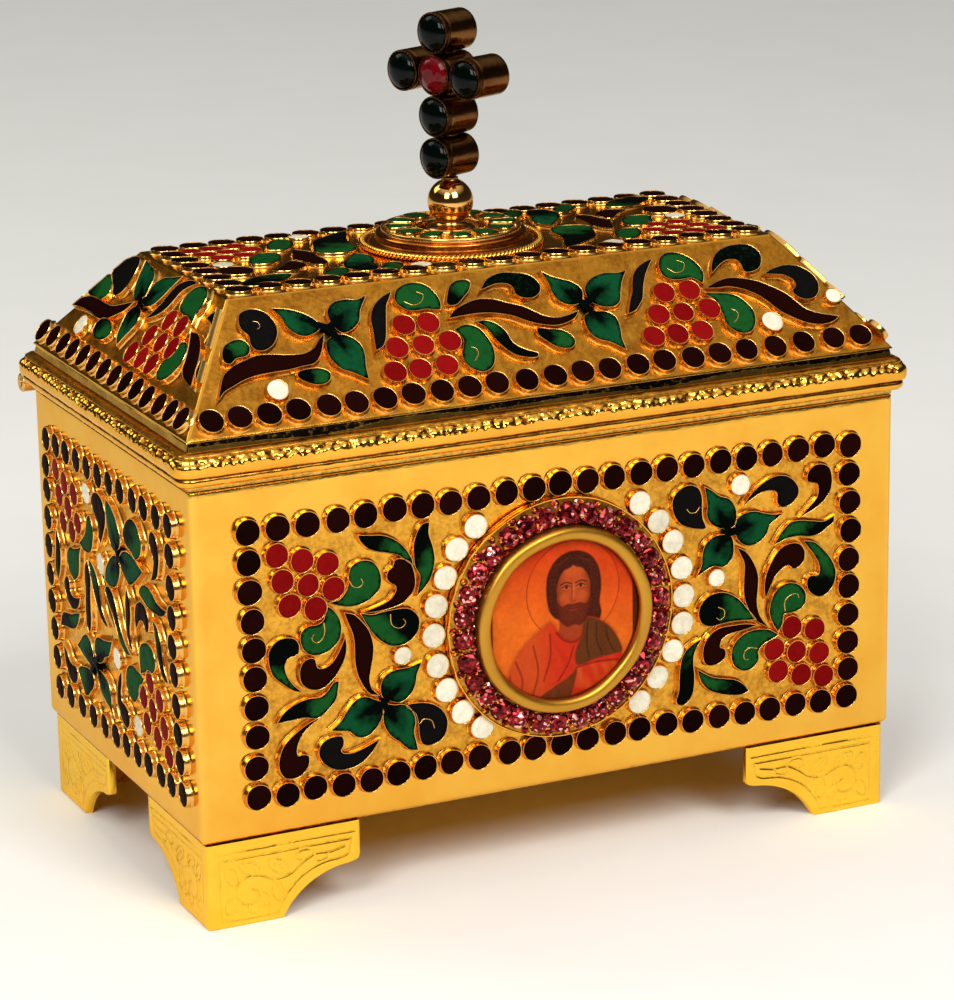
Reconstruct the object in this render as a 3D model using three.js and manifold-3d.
// Altar tabernacle: a gilt casket on four bracket feet, with a hipped lid on a rear
// barrel hinge and a turned finial that carries a cross of six set stones.
// Millimetres. +X is the casket's right, -Y its front, +Z up. The origin is on the
// table, under the middle of the casket body.
import * as THREE from 'three';
import { mergeVertices } from 'three/addons/utils/BufferGeometryUtils.js';
import Module from 'manifold-3d';

const wasm = await Module();
wasm.setup();

// ---------------------------------------------------------------- dimensions
const HALF_W = 62.4;            // body half width, outside
const HALF_D = 36.3;            // body half depth, outside
const WALL = 1.5;               // sheet thickness of the walls
const BODY_Z0 = 14.4;           // underside of the body
const BODY_Z1 = 72.4;           // top edge of the walls
const EDGE_R = 1.5;             // rolled lower edge of the walls
const SEAM = 0.05;              // soldered seam between two plates

const FOOT_W = 61.6;            // outer face of the feet, in X
const FOOT_D = 35.8;            // outer face of the feet, in Y
const FOOT_T = 1.3;             // foot sheet thickness
const FOOT_LEG = 26.3;          // length of each leg of the L at the top
const FOOT_DROP = 6.2;          // straight drop at the end of a leg
const FOOT_TOE = 12.8;          // length that stands on the table

const SKIRT_Z0 = 72.5;          // lower edge of the lid
const SKIRT_Z1 = 80.2;          // top of the plain band above the moulding
const MOULD_Z0 = 73.4;          // underside of the rim moulding
const MOULD_Z1 = 78.8;
const MOULD_OUT = 2.6;          // how far the moulding stands out
const MOULD_REAR_IN = 0.85;     // rear moulding is let out over the hinge leaf
const MOULD_REAR_Z0 = 75.3;     // and its lower roll gives way to the barrel

const SLOPE_Z0 = 80.3;
const SLOPE_Z1 = 97.9;          // plateau of the lid
const TOP_W = 48.5;             // plateau half width
const TOP_D = 19.4;             // plateau half depth
const SHEET = 1.2;              // lid sheet thickness

const CELL_H = 1.1;             // height of the enamel cell work over its ground
const PANEL_W = 56.4;           // half width of the front and rear cell work
const PANEL_D = 31.8;           // half width of the side cell work
const PANEL_Z0 = 18.9;
const PANEL_Z1 = 67.9;

const MED_Z = 43.4;             // centre of the medallion
const MED_R = 20.4;             // outer radius of its stone collar
const BEZEL_R = 15.6;
const ICON_R = 13.2;
const BEZEL_OUT = 3.9;          // bezel stands this far off the wall

const HINGE_Y = 38.9;           // hinge axis
const HINGE_Z = 73.0;
const KNUCKLE_R = 1.6;
const KNUCKLE_BORE = 0.72;
const PIN_R = 0.65;
const HINGE_HALF = 64.0;        // half length of the barrel
const KNUCKLES = 7;             // odd ones belong to the casket
const KNUCKLE_GAP = 0.35;
const LEAF_T = 0.75;
const LEAF_H = 6.0;

const FINIAL_X = -1.0;          // axis of the finial
const BASE_R = 13.9;
const ROPE_R = 14.9;            // middle of the twisted wire
const ROPE_WIRE = 0.6;
const BALL_Z = 105.0;
const BALL_R = 3.8;
const STUD_R = 1.5;
const STUD_CLEAR = 0.1;

const COLLET_R = 3.42;
const COLLET_L = 7.3;
const STONE_R = 2.78;
const CROSS_Z = 126.35;         // middle stone
const CROSS_TURN = -68.8;       // degrees: the cross stands turned to the casket's left
const STEM_PITCH = 6.88;
const ARM_PITCH = 7.1;

// ---------------------------------------------------------------- materials
const gilt = () => new THREE.MeshStandardMaterial({ color: 0xd9a441, roughness: 0.24, metalness: 1 });
const giltDark = () => new THREE.MeshStandardMaterial({ color: 0xb9822c, roughness: 0.3, metalness: 1 });
const cellWork = () => new THREE.MeshStandardMaterial({ color: 0x2b1512, roughness: 0.22, metalness: 0.2 });
const greenStone = () => new THREE.MeshStandardMaterial({ color: 0x06130f, roughness: 0.05, metalness: 0 });
const redStone = () => new THREE.MeshStandardMaterial({ color: 0x9a0f1d, roughness: 0.05, metalness: 0 });
const roseStone = () => new THREE.MeshStandardMaterial({ color: 0xa8325a, roughness: 0.08, metalness: 0 });
const paint = () => new THREE.MeshStandardMaterial({ color: 0xd06a24, roughness: 0.45, metalness: 0 });

// ---------------------------------------------------------------- geometry helpers
// Welds a geometry to bare shared vertices, drops slivers of no area and turns it
// inside out when its faces point inwards.
function weld(geometry) {
  const g = geometry.clone();
  for (const name of Object.keys(g.attributes)) if (name !== 'position') g.deleteAttribute(name);
  const merged = mergeVertices(g, 1e-5);
  const old = merged.index.array;
  const p = merged.attributes.position;
  let keep = [];
  let volume = 0;
  const a = new THREE.Vector3(), b = new THREE.Vector3(), c = new THREE.Vector3();
  for (let i = 0; i < old.length; i += 3) {
    const [u, v, w] = [old[i], old[i + 1], old[i + 2]];
    if (u === v || v === w || u === w) continue;
    keep.push(u, v, w);
    a.fromBufferAttribute(p, u);
    b.fromBufferAttribute(p, v);
    c.fromBufferAttribute(p, w);
    volume += a.dot(b.cross(c)) / 6;
  }
  if (volume < 0) {
    const flipped = [];
    for (let i = 0; i < keep.length; i += 3) flipped.push(keep[i], keep[i + 2], keep[i + 1]);
    keep = flipped;
  }
  merged.setIndex(keep);
  return merged;
}

function toManifold(geometry) {
  const g = weld(geometry);
  return new wasm.Manifold(new wasm.Mesh({
    numProp: 3,
    vertProperties: new Float32Array(g.attributes.position.array),
    triVerts: new Uint32Array(g.index.array),
  }));
}

function fromManifold(solid) {
  const mesh = solid.getMesh();
  const g = new THREE.BufferGeometry();
  g.setAttribute('position', new THREE.BufferAttribute(new Float32Array(mesh.vertProperties), 3));
  g.setIndex(new THREE.BufferAttribute(new Uint32Array(mesh.triVerts), 1));
  return g;
}

function union(...list) {
  return fromManifold(list.map(toManifold).reduce((a, b) => a.add(b)));
}

function box(x0, x1, y0, y1, z0, z1) {
  const g = new THREE.BoxGeometry(x1 - x0, y1 - y0, z1 - z0);
  g.translate((x0 + x1) / 2, (y0 + y1) / 2, (z0 + z1) / 2);
  return g;
}

// Solid of revolution about +Z from [radius, z] points.
function turned(points, segments = 40) {
  const g = new THREE.LatheGeometry(points.map(([r, z]) => new THREE.Vector2(r, z)), segments);
  g.rotateX(Math.PI / 2);
  return g;
}

// Closed ring of revolution: the profile runs back to its first point.
function ring(points, segments = 40) {
  return turned([...points, points[0]], segments);
}

// A profile of [outward, z] points run along one side of the casket. Each end is
// placed by endOf(outward, z), which gives the half length there, so corners mitre.
// side: 'front' | 'rear' | 'left' | 'right'
function strip(profile, endOf, side) {
  const shape = new THREE.Shape(profile.map(([o, z]) => new THREE.Vector2(o, z)));
  const g = new THREE.ExtrudeGeometry(shape, { depth: 1, bevelEnabled: false, steps: 1 });
  const p = g.attributes.position;
  for (let i = 0; i < p.count; i++) {
    const o = p.getX(i), z = p.getY(i);
    const along = (p.getZ(i) * 2 - 1) * endOf(o, z);
    if (side === 'front') p.setXYZ(i, along, -o, z);
    if (side === 'rear') p.setXYZ(i, along, o, z);
    if (side === 'left') p.setXYZ(i, -o, along, z);
    if (side === 'right') p.setXYZ(i, o, along, z);
  }
  return g;
}

const isLong = (side) => side === 'front' || side === 'rear';
const faceOf = (side) => (isLong(side) ? HALF_D : HALF_W);   // outer face this side stands on
const acrossOf = (side) => (isLong(side) ? HALF_W : HALF_D); // half length of this side
const SIDES = ['front', 'rear', 'left', 'right'];

const root = new THREE.Group();
const casket = new THREE.Group();
const lid = new THREE.Group();        // turns about the hinge axis
const lidPieces = new THREE.Group();
lid.position.set(0, HINGE_Y, HINGE_Z);
lidPieces.position.set(0, -HINGE_Y, -HINGE_Z);
lid.add(lidPieces);
root.add(casket, lid);

function piece(parent, name, geometry, material) {
  const mesh = new THREE.Mesh(weld(geometry), material);
  mesh.name = name;
  parent.add(mesh);
  return mesh;
}

// ---------------------------------------------------------------- casket walls and floor
for (const side of SIDES) {
  const face = faceOf(side);
  const profile = [
    [face - WALL, BODY_Z1],
    [face - WALL, BODY_Z0 + 0.001],
  ];
  for (let i = 0; i <= 5; i++) {
    const a = (i / 5) * Math.PI / 2;
    profile.push([face - EDGE_R + EDGE_R * Math.sin(a), BODY_Z0 + EDGE_R - EDGE_R * Math.cos(a)]);
  }
  profile.push([face, BODY_Z1]);
  // the first arc point lies on the inner face, so the corner there is dropped
  profile.splice(1, 1);
  piece(casket, `wall_${side}`, strip(profile, (o) => acrossOf(side) - (face - o) - SEAM, side), gilt());
}
piece(casket, 'floor_plate',
  box(-HALF_W + WALL + SEAM, HALF_W - WALL - SEAM, -HALF_D + WALL + SEAM, HALF_D - WALL - SEAM, BODY_Z0, BODY_Z0 + 1.4), giltDark());

// ---------------------------------------------------------------- bracket feet
// Outline of one leg: along (from the corner) against height.
function legShape() {
  const top = BODY_Z0 - SEAM;
  const s = new THREE.Shape();
  s.moveTo(0, 0);
  s.lineTo(FOOT_TOE, 0);
  s.bezierCurveTo(FOOT_TOE + 2.2, 4.1, FOOT_TOE + 6.4, 6.9, FOOT_LEG - 2.0, top - FOOT_DROP - 0.9);
  s.quadraticCurveTo(FOOT_LEG - 0.2, top - FOOT_DROP - 0.6, FOOT_LEG, top - FOOT_DROP);
  s.lineTo(FOOT_LEG, top);
  s.lineTo(0, top);
  return s;
}
function foot(sx, sy) {
  const leg = new THREE.ExtrudeGeometry(legShape(), { depth: FOOT_T, bevelEnabled: false, curveSegments: 8 });
  // leg along X on the front or rear face; extrusion depth runs inwards
  const long = leg.clone();
  const short = leg.clone();
  const pl = long.attributes.position, ps = short.attributes.position;
  for (let i = 0; i < pl.count; i++) {
    const a = pl.getX(i), z = pl.getY(i), d = pl.getZ(i);
    pl.setXYZ(i, sx * (FOOT_W - a), sy * (FOOT_D - d), z);
    ps.setXYZ(i, sx * (FOOT_W - d), sy * (FOOT_D - a), z);
  }
  return union(long, short);
}
piece(casket, 'foot_front_left', foot(-1, -1), gilt());
piece(casket, 'foot_front_right', foot(1, -1), gilt());
piece(casket, 'foot_rear_left', foot(-1, 1), gilt());
piece(casket, 'foot_rear_right', foot(1, 1), gilt());

// ---------------------------------------------------------------- cell work on the walls
// The front panel is pierced for the medallion.
function wallPanel(side) {
  const half = isLong(side) ? PANEL_W : PANEL_D;
  const s = new THREE.Shape();
  s.moveTo(-half, PANEL_Z0);
  s.lineTo(half, PANEL_Z0);
  s.lineTo(half, PANEL_Z1);
  s.lineTo(-half, PANEL_Z1);
  if (side === 'front') {
    const hole = new THREE.Path();
    hole.absarc(0, MED_Z, MED_R + 0.3, 0, Math.PI * 2, true);
    s.holes.push(hole);
  }
  const g = new THREE.ExtrudeGeometry(s, { depth: CELL_H, bevelEnabled: false, curveSegments: 20 });
  const p = g.attributes.position;
  const face = faceOf(side) + SEAM;
  for (let i = 0; i < p.count; i++) {
    const a = p.getX(i), z = p.getY(i), o = face + p.getZ(i);
    if (side === 'front') p.setXYZ(i, a, -o, z);
    if (side === 'rear') p.setXYZ(i, a, o, z);
    if (side === 'left') p.setXYZ(i, -o, a, z);
    if (side === 'right') p.setXYZ(i, o, a, z);
  }
  return g;
}
for (const side of SIDES) piece(casket, `cell_panel_${side}`, wallPanel(side), cellWork());

// ---------------------------------------------------------------- medallion
// Built about +Z, laid onto the front wall facing -Y.
const medallion = new THREE.Group();
medallion.position.set(0, -HALF_D - 0.3, MED_Z);
medallion.rotation.x = Math.PI / 2;
casket.add(medallion);
piece(medallion, 'medallion_collar',
  ring([[BEZEL_R + 0.3, 0], [MED_R, 0], [MED_R, 0.6], [BEZEL_R + 0.3, 1.7]]), gilt());
piece(medallion, 'medallion_stones',
  ring([[BEZEL_R + 0.4, 2.0], [MED_R - 0.5, 0.98], [MED_R - 0.4, 1.7], [BEZEL_R + 1.9, 2.75], [BEZEL_R + 0.4, 2.6]]), roseStone());
piece(medallion, 'medallion_bezel',
  ring([[ICON_R + 0.3, 0], [BEZEL_R, 0], [BEZEL_R, 2.6], [BEZEL_R - 0.7, BEZEL_OUT - 0.3],
    [BEZEL_R - 1.6, BEZEL_OUT - 0.3], [ICON_R - 0.3, 2.9], [ICON_R - 0.3, 2.2], [ICON_R + 0.3, 2.2]]), gilt());
piece(medallion, 'icon_plate', turned([[0, 0], [ICON_R, 0], [ICON_R, 1.9], [0, 1.9]]), paint());

// ---------------------------------------------------------------- hinge
// Barrel along X about the hinge axis. Knuckles alternate between the two leaves.
function knuckleSpans(mine) {
  const pitch = (2 * HINGE_HALF) / KNUCKLES;
  const spans = [];
  for (let i = 0; i < KNUCKLES; i++) {
    if ((i % 2 === 0) === mine) {
      spans.push([-HINGE_HALF + i * pitch + (i ? KNUCKLE_GAP / 2 : 0),
        -HINGE_HALF + (i + 1) * pitch - (i < KNUCKLES - 1 ? KNUCKLE_GAP / 2 : 0)]);
    }
  }
  return spans;
}
function barrel(x0, x1, outer, inner, segments) {
  const half = (x1 - x0) / 2;
  const g = inner > 0
    ? new THREE.LatheGeometry([[inner, -half], [outer, -half], [outer, half], [inner, half], [inner, -half]]
      .map(([r, y]) => new THREE.Vector2(r, y)), segments)
    : new THREE.LatheGeometry([[0, -half], [outer, -half], [outer, half], [0, half]]
      .map(([r, y]) => new THREE.Vector2(r, y)), segments);
  g.rotateZ(Math.PI / 2);
  g.translate((x0 + x1) / 2, HINGE_Y, HINGE_Z);
  return g;
}
function hingeLeaf(mine) {
  const face = HALF_D + SEAM;
  const solids = [];
  let leaf;
  if (mine) leaf = toManifold(box(-HALF_W + 0.4, HALF_W - 0.4, face, face + LEAF_T, HINGE_Z - 0.9 - LEAF_H + 1.9, HINGE_Z - 0.9));
  else leaf = toManifold(box(-HALF_W + 0.4, HALF_W - 0.4, face, face + LEAF_T, HINGE_Z + 0.3, HINGE_Z + 0.3 + LEAF_H - 0.6));
  for (const [x0, x1] of knuckleSpans(mine)) {
    const a = Math.max(x0, -HALF_W + 0.4), b = Math.min(x1, HALF_W - 0.4);
    let k = toManifold(barrel(x0, x1, KNUCKLE_R, 0, 20));
    const web = mine
      ? box(a, b, face, HINGE_Y, HINGE_Z - KNUCKLE_R * 0.985, HINGE_Z - 0.9)
      : box(a, b, face, HINGE_Y, HINGE_Z + 0.45, HINGE_Z + KNUCKLE_R * 0.985);
    k = k.add(toManifold(web));
    k = k.subtract(toManifold(barrel(x0 - 1, x1 + 1, KNUCKLE_BORE, 0, 16)));
    solids.push(k);
  }
  return fromManifold(solids.reduce((m, k) => m.add(k), leaf));
}
piece(casket, 'hinge_leaf_casket', hingeLeaf(true), gilt());
piece(casket, 'hinge_pin', barrel(-HINGE_HALF - 0.15, HINGE_HALF + 0.15, PIN_R, 0, 16), giltDark());
piece(lidPieces, 'hinge_leaf_lid', hingeLeaf(false), gilt());

// ---------------------------------------------------------------- lid band and rim moulding
for (const side of SIDES) {
  const face = faceOf(side);
  piece(lidPieces, `lid_band_${side}`,
    strip([[face - WALL, SKIRT_Z0], [face, SKIRT_Z0], [face, SKIRT_Z1], [face - WALL, SKIRT_Z1]],
      (o) => acrossOf(side) - (face - o) - SEAM, side), gilt());
  const f = face + SEAM;
  const m = MOULD_OUT;
  let profile = [
    [f, MOULD_Z0], [f + 1.1, MOULD_Z0], [f + 1.8, MOULD_Z0 + 0.45], [f + 1.9, MOULD_Z0 + 1.1], [f + 1.6, MOULD_Z0 + 1.65],
    [f + 2.3, MOULD_Z0 + 1.9], [f + m, MOULD_Z0 + 2.6], [f + m, MOULD_Z0 + 3.4], [f + 1.7, MOULD_Z0 + 4.4],
    [f + 0.5, MOULD_Z1], [f, MOULD_Z1],
  ];
  if (side === 'rear') {
    profile = [
      [f + MOULD_REAR_IN, MOULD_REAR_Z0], [f + 2.3, MOULD_REAR_Z0], [f + m, MOULD_Z0 + 2.6], [f + m, MOULD_Z0 + 3.4],
      [f + 1.7, MOULD_Z0 + 4.4], [f + MOULD_REAR_IN, MOULD_Z1],
    ];
  }
  let moulding = strip(profile, (o) => acrossOf(side) + (o - face) - SEAM, side);
  // the side strips are hollowed at the back to clear the barrel
  if (!isLong(side)) {
    moulding = fromManifold(toManifold(moulding)
      .subtract(toManifold(barrel(-HALF_W - 6, HALF_W + 6, KNUCKLE_R + 0.35, 0, 24))));
  }
  piece(lidPieces, `rim_moulding_${side}`, moulding, giltDark());
}

// ---------------------------------------------------------------- hipped lid
// Unit normals of the long and short slopes, and the mitre plane of a hip.
const rise = SLOPE_Z1 - SLOPE_Z0;
const runLong = HALF_D - TOP_D, runShort = HALF_W - TOP_W;
const nLong = new THREE.Vector2(rise, runLong).normalize();    // (outward, up)
const nShort = new THREE.Vector2(rise, runShort).normalize();
// Half length of a slope at (outward, z), on the plane that halves the hip's angle.
function hip(side, o, z) {
  // plane through (HALF_W, HALF_D, SLOPE_Z0): (nx, -ny, dz) . p = 0
  const nx = nShort.x, ny = nLong.x, nz = nShort.y - nLong.y;
  if (isLong(side)) return HALF_W + (ny * (o - HALF_D) - nz * (z - SLOPE_Z0)) / nx;
  return HALF_D + (nx * (o - HALF_W) + nz * (z - SLOPE_Z0)) / ny;
}
for (const side of SIDES) {
  const n = isLong(side) ? nLong : nShort;
  const face = faceOf(side);
  const inner = isLong(side) ? TOP_D : TOP_W;
  const across = SHEET / n.x;             // level thickness of the sloping sheet
  piece(lidPieces, `lid_slope_${side}`,
    strip([[face, SLOPE_Z0], [inner, SLOPE_Z1], [inner - across, SLOPE_Z1], [face - across, SLOPE_Z0]],
      (o, z) => hip(side, o, z) - SEAM, side), gilt());
}
const topSheet = new THREE.Shape();
const tw = TOP_W - SHEET / nShort.x - 0.1, td = TOP_D - SHEET / nLong.x - 0.1;
topSheet.moveTo(-tw, -td);
topSheet.lineTo(tw, -td);
topSheet.lineTo(tw, td);
topSheet.lineTo(-tw, td);
const studHole = new THREE.Path();
studHole.absarc(FINIAL_X, 0, STUD_R + STUD_CLEAR, 0, Math.PI * 2, true);
topSheet.holes.push(studHole);
const topPlate = new THREE.ExtrudeGeometry(topSheet, { depth: SHEET, bevelEnabled: false, curveSegments: 8 });
topPlate.translate(0, 0, SLOPE_Z1 - SHEET);
piece(lidPieces, 'lid_top_plate', topPlate, gilt());

// Cell work on the slopes stands off the sheet and stops short of the hips.
for (const side of SIDES) {
  const n = isLong(side) ? nLong : nShort;
  const face = faceOf(side);
  const inner = isLong(side) ? TOP_D : TOP_W;
  const at = (t, h) => [face + (inner - face) * t + n.x * h, SLOPE_Z0 + rise * t + n.y * h];
  const h0 = 0.1, h1 = CELL_H;
  piece(lidPieces, `cell_slope_${side}`,
    strip([at(0.03, h0), at(0.03, h1), at(0.95, h1), at(0.95, h0)],
      (o, z) => hip(side, o, z) - 2.6, side), cellWork());
}
const topCells = new THREE.Shape();
topCells.moveTo(-TOP_W + 1.6, -TOP_D + 1.4);
topCells.lineTo(TOP_W - 1.6, -TOP_D + 1.4);
topCells.lineTo(TOP_W - 1.6, TOP_D - 1.4);
topCells.lineTo(-TOP_W + 1.6, TOP_D - 1.4);
const baseHole = new THREE.Path();
baseHole.absarc(FINIAL_X, 0, ROPE_R + ROPE_WIRE + 0.4, 0, Math.PI * 2, true);
topCells.holes.push(baseHole);
const topPanel = new THREE.ExtrudeGeometry(topCells, { depth: CELL_H, bevelEnabled: false, curveSegments: 20 });
topPanel.translate(0, 0, SLOPE_Z1 + SEAM);
piece(lidPieces, 'cell_top', topPanel, cellWork());

// ---------------------------------------------------------------- finial
const finial = new THREE.Group();
finial.position.set(FINIAL_X, 0, SLOPE_Z1);
lidPieces.add(finial);
const bore = STUD_R + STUD_CLEAR;
// turned foot: low flange, then a polished step
piece(finial, 'finial_base',
  ring([[bore, SEAM], [BASE_R, SEAM], [BASE_R, 0.7], [BASE_R - 0.5, 1.05], [12.7, 1.25], [12.6, 2.0], [12.2, 2.35], [bore, 2.35]], 48), gilt());
// twisted wire round the flange
const wire = [];
for (let i = 0; i < 8; i++) {
  const a = (i / 8) * Math.PI * 2 + Math.PI / 8;
  wire.push([ROPE_R + ROPE_WIRE * Math.cos(a), ROPE_WIRE + SEAM + ROPE_WIRE * Math.sin(a)]);
}
piece(finial, 'finial_rope_ring', ring(wire, 48), gilt());
// ring of green cells round the knob
piece(finial, 'finial_cell_ring',
  ring([[5.3, 2.4], [11.6, 2.4], [11.6, 3.4], [11.2, 3.6], [5.7, 3.6], [5.3, 3.4]]), cellWork());
// knob: neck and ball, with a blind bore for the stud
const knobTop = BALL_Z + 4.0 - SLOPE_Z1;
const ballZ = BALL_Z - SLOPE_Z1;
const knob = [[0, 8.4], [bore, 8.4], [bore, 2.4], [4.2, 2.4], [4.0, 2.9], [2.7, 3.3], [2.45, 3.7]];
for (let i = 0; i <= 8; i++) {
  const a = -0.87 + (i / 8) * (0.87 + 1.08);
  knob.push([BALL_R * Math.cos(a), ballZ + BALL_R * Math.sin(a)]);
}
knob.push([1.7, knobTop + 0.02], [0, knobTop + 0.02]);
piece(finial, 'finial_knob', turned(knob, 28), gilt());
// stud, washer and nut that hold the finial from inside the lid
const nutTop = -SHEET - 0.85, nutBottom = nutTop - 2.4;
piece(finial, 'finial_stud', turned([[0, nutBottom - 1.6], [STUD_R - 0.3, nutBottom - 1.6], [STUD_R, nutBottom - 1.3],
  [STUD_R, 7.7], [STUD_R - 0.4, 8.1], [0, 8.1]], 16), giltDark());
piece(finial, 'finial_washer', ring([[bore, -SHEET - 0.75], [4.2, -SHEET - 0.75], [4.2, -SHEET - SEAM], [bore, -SHEET - SEAM]], 24), giltDark());
const nutShape = new THREE.Shape();
for (let i = 0; i < 6; i++) {
  const a = (i / 6) * Math.PI * 2;
  const r = 2.75 / Math.cos(Math.PI / 6);
  if (i) nutShape.lineTo(r * Math.cos(a), r * Math.sin(a));
  else nutShape.moveTo(r, 0);
}
const nutHole = new THREE.Path();
nutHole.absarc(0, 0, bore, 0, Math.PI * 2, true);
nutShape.holes.push(nutHole);
const nut = new THREE.ExtrudeGeometry(nutShape, { depth: 2.4, bevelEnabled: false, curveSegments: 8 });
nut.translate(0, 0, nutBottom);
piece(finial, 'finial_nut', nut, giltDark());

// ---------------------------------------------------------------- cross
// Six tube collets side by side, each closed by a cabochon on its -Y end.
const cross = new THREE.Group();
cross.position.set(FINIAL_X, 0, CROSS_Z);
cross.rotation.z = THREE.MathUtils.degToRad(CROSS_TURN);
lidPieces.add(cross);
const spots = {
  centre: [0, 0],
  top: [0, STEM_PITCH],
  left_arm: [-ARM_PITCH, 0],
  right_arm: [ARM_PITCH, 0],
  upper_stem: [0, -STEM_PITCH],
  lower_stem: [0, -2 * STEM_PITCH],
};
for (const [name, [x, z]] of Object.entries(spots)) {
  const L = COLLET_L / 2;
  const seat = STONE_R + 0.3;
  const colletProfile = [[0, -L + 1.2], [seat, -L + 1.2], [seat, -L], [COLLET_R - 0.06, -L], [COLLET_R, -L + 0.3],
    [COLLET_R, L - 0.3], [COLLET_R - 0.3, L], [0, L]].map(([r, y]) => new THREE.Vector2(r, y));
  const c = piece(cross, `cross_collet_${name}`, new THREE.LatheGeometry(colletProfile, 24), giltDark());
  c.position.set(x, 0, z);
  const domeProfile = [[0, -L + 0.9], [STONE_R, -L + 0.9], [STONE_R, -L + 0.1], [STONE_R * 0.87, -L - 0.5],
    [STONE_R * 0.5, -L - 0.95], [0, -L - 1.1]].map(([r, y]) => new THREE.Vector2(r, y));
  const s = piece(cross, `cross_stone_${name}`, new THREE.LatheGeometry(domeProfile, 20), name === 'centre' ? redStone() : greenStone());
  s.position.set(x, 0, z);
}

root.updateMatrixWorld(true);
const group = root;
export default group;
